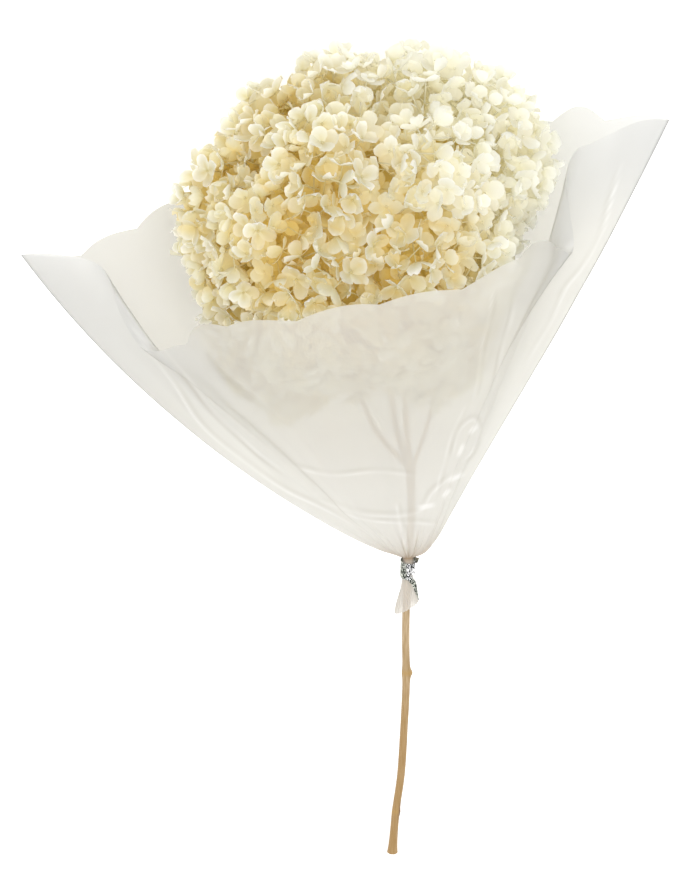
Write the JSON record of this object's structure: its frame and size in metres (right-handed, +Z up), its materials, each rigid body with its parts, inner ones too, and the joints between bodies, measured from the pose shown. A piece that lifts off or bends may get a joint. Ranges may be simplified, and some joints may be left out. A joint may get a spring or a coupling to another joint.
{
  "type": "preserved hydrangea stem in a film sleeve",
  "caption": "Single preserved hydrangea stem with a large cream mophead of four-sepal florets, in a frosted cone sleeve of clear film gathered at the neck by a foil twist tie; lies flat.",
  "frame": {"origin": "on the surface the stem lies on, below the middle of its outline", "axes": "+Y from the cut end of the stem towards the flower, +X to the right seen from above with the flower ahead, +Z up"},
  "size_m": [0.3894, 0.5194, 0.1956],
  "materials": {
    "woody_stem": "matte",
    "petals": "matte",
    "film": "satin",
    "foil": "gloss"
  },
  "bodies": {
    "root": {"stem": "woody_stem", "flower_head": "petals", "sleeve": "film", "twist_tie": "foil"}
  },
  "joints": []
}
